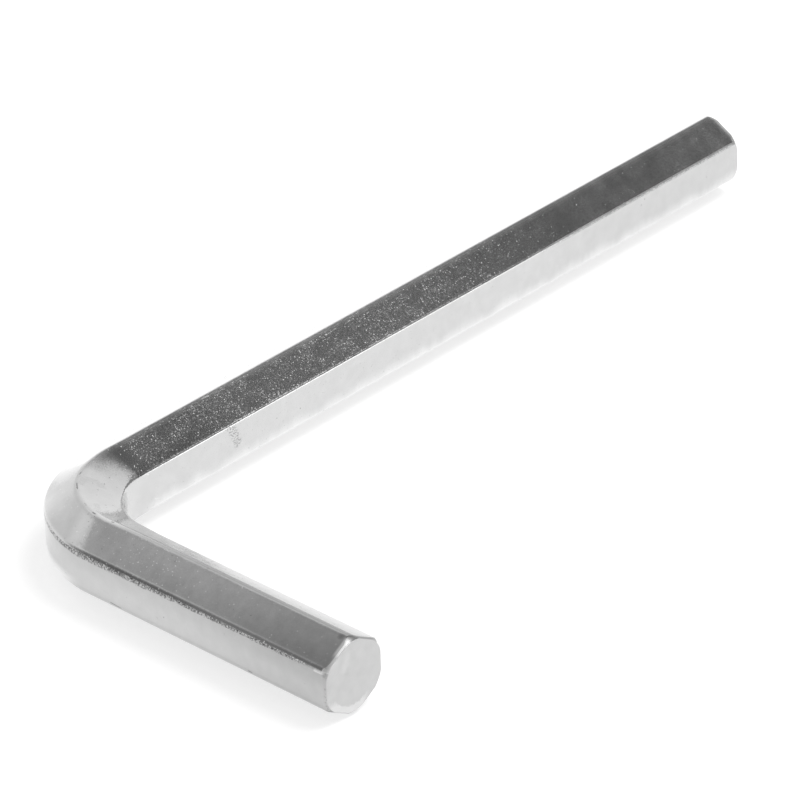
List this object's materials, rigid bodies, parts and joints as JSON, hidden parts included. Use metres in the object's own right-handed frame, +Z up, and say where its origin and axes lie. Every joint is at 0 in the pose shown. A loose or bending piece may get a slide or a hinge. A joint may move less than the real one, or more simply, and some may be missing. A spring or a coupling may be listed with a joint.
{
  "type": "hex key",
  "caption": "L-shaped hexagonal steel key with a tight rounded bend, a short arm, a long arm and a small turned chamfer on each end.",
  "frame": {"origin": "under the middle of the bounding box, on the surface that the key lies on", "axes": "+X along the long arm, away from the bend; the short arm points along -Y; +Z is up, square to the plane of the L"},
  "size_m": [0.07, 0.03, 0.0057],
  "materials": {
    "plated_steel": "bright zinc or nickel plating on drawn steel, smooth on the bend, finely speckled along the flats"
  },
  "bodies": {
    "root": {"hex_key": "plated_steel"}
  },
  "joints": []
}
